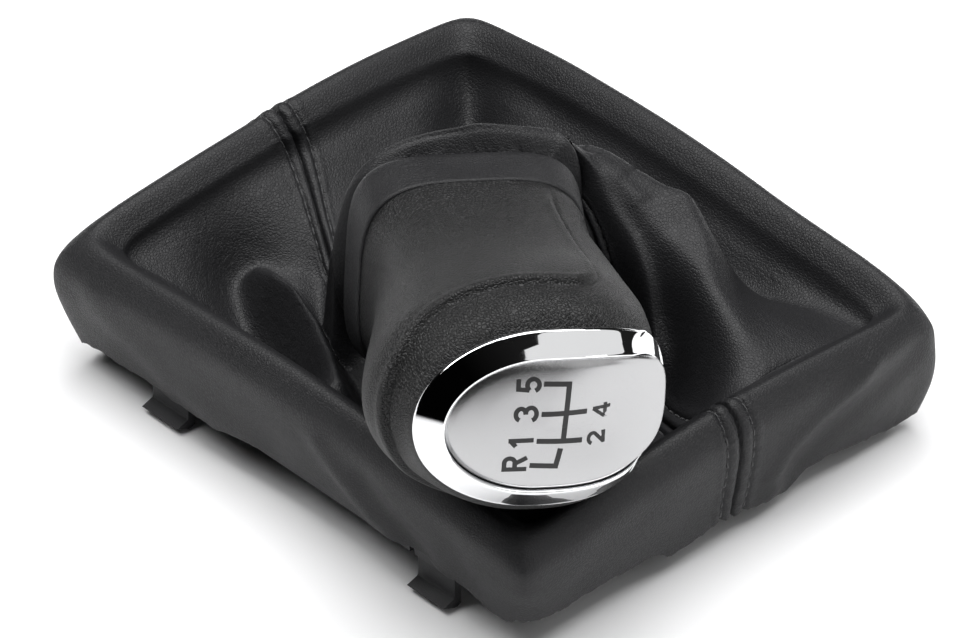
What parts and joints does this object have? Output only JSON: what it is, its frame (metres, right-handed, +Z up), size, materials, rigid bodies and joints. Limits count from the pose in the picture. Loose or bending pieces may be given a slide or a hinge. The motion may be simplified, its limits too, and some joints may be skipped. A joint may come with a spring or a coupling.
{
  "type": "gear shift knob with gaiter",
  "caption": "Gear shift knob with chrome-ringed shift plate, joined to a sewn leather gaiter on a rectangular clip-in console frame.",
  "frame": {"origin": "centre of the rectangular gaiter frame, on the plane of the feet of its snap hooks", "axes": "+Z up out of the console opening, +X along the frame's long sides, +Y along its short sides; the knob lies over towards +X and -Y"},
  "size_m": [0.1456, 0.1302, 0.0797],
  "materials": {
    "frame_plastic": "moulded black plastic, fine matt",
    "gaiter_leather": "grained bluish dark grey leather with a soft sheen",
    "collar_plastic": "moulded black plastic",
    "strap_plastic": "smooth black plastic",
    "grip_plastic": "soft dark grey plastic with a leather-like grain",
    "core_plastic": "glass-filled plastic",
    "sleeve_metal": "turned",
    "ring_steel": "spring steel",
    "bezel_chrome": "bright chrome plating",
    "plate_silver": "satin silver with a dark printed shift pattern"
  },
  "bodies": {
    "frame": {"gaiter_frame": "frame_plastic", "gaiter_panel_left": "gaiter_leather", "gaiter_panel_right": "gaiter_leather"},
    "knob": {"knob_grip": "grip_plastic", "knob_core": "core_plastic", "lever_sleeve": "sleeve_metal", "sleeve_ring": "ring_steel", "chrome_bezel": "bezel_chrome", "shift_plate": "plate_silver", "gaiter_collar": "collar_plastic", "neck_strap": "strap_plastic"}
  },
  "joints": [
    {"name": "knob_tilt", "type": "hinge", "parent": "frame", "child": "knob", "pos_m": [-0.0099, -0.0048, 0.0392], "axis": [-0.515, -0.8572, 0], "range_deg": [0, 77.7], "deforming": ["gaiter_panel_left", "gaiter_panel_right"]}
  ]
}
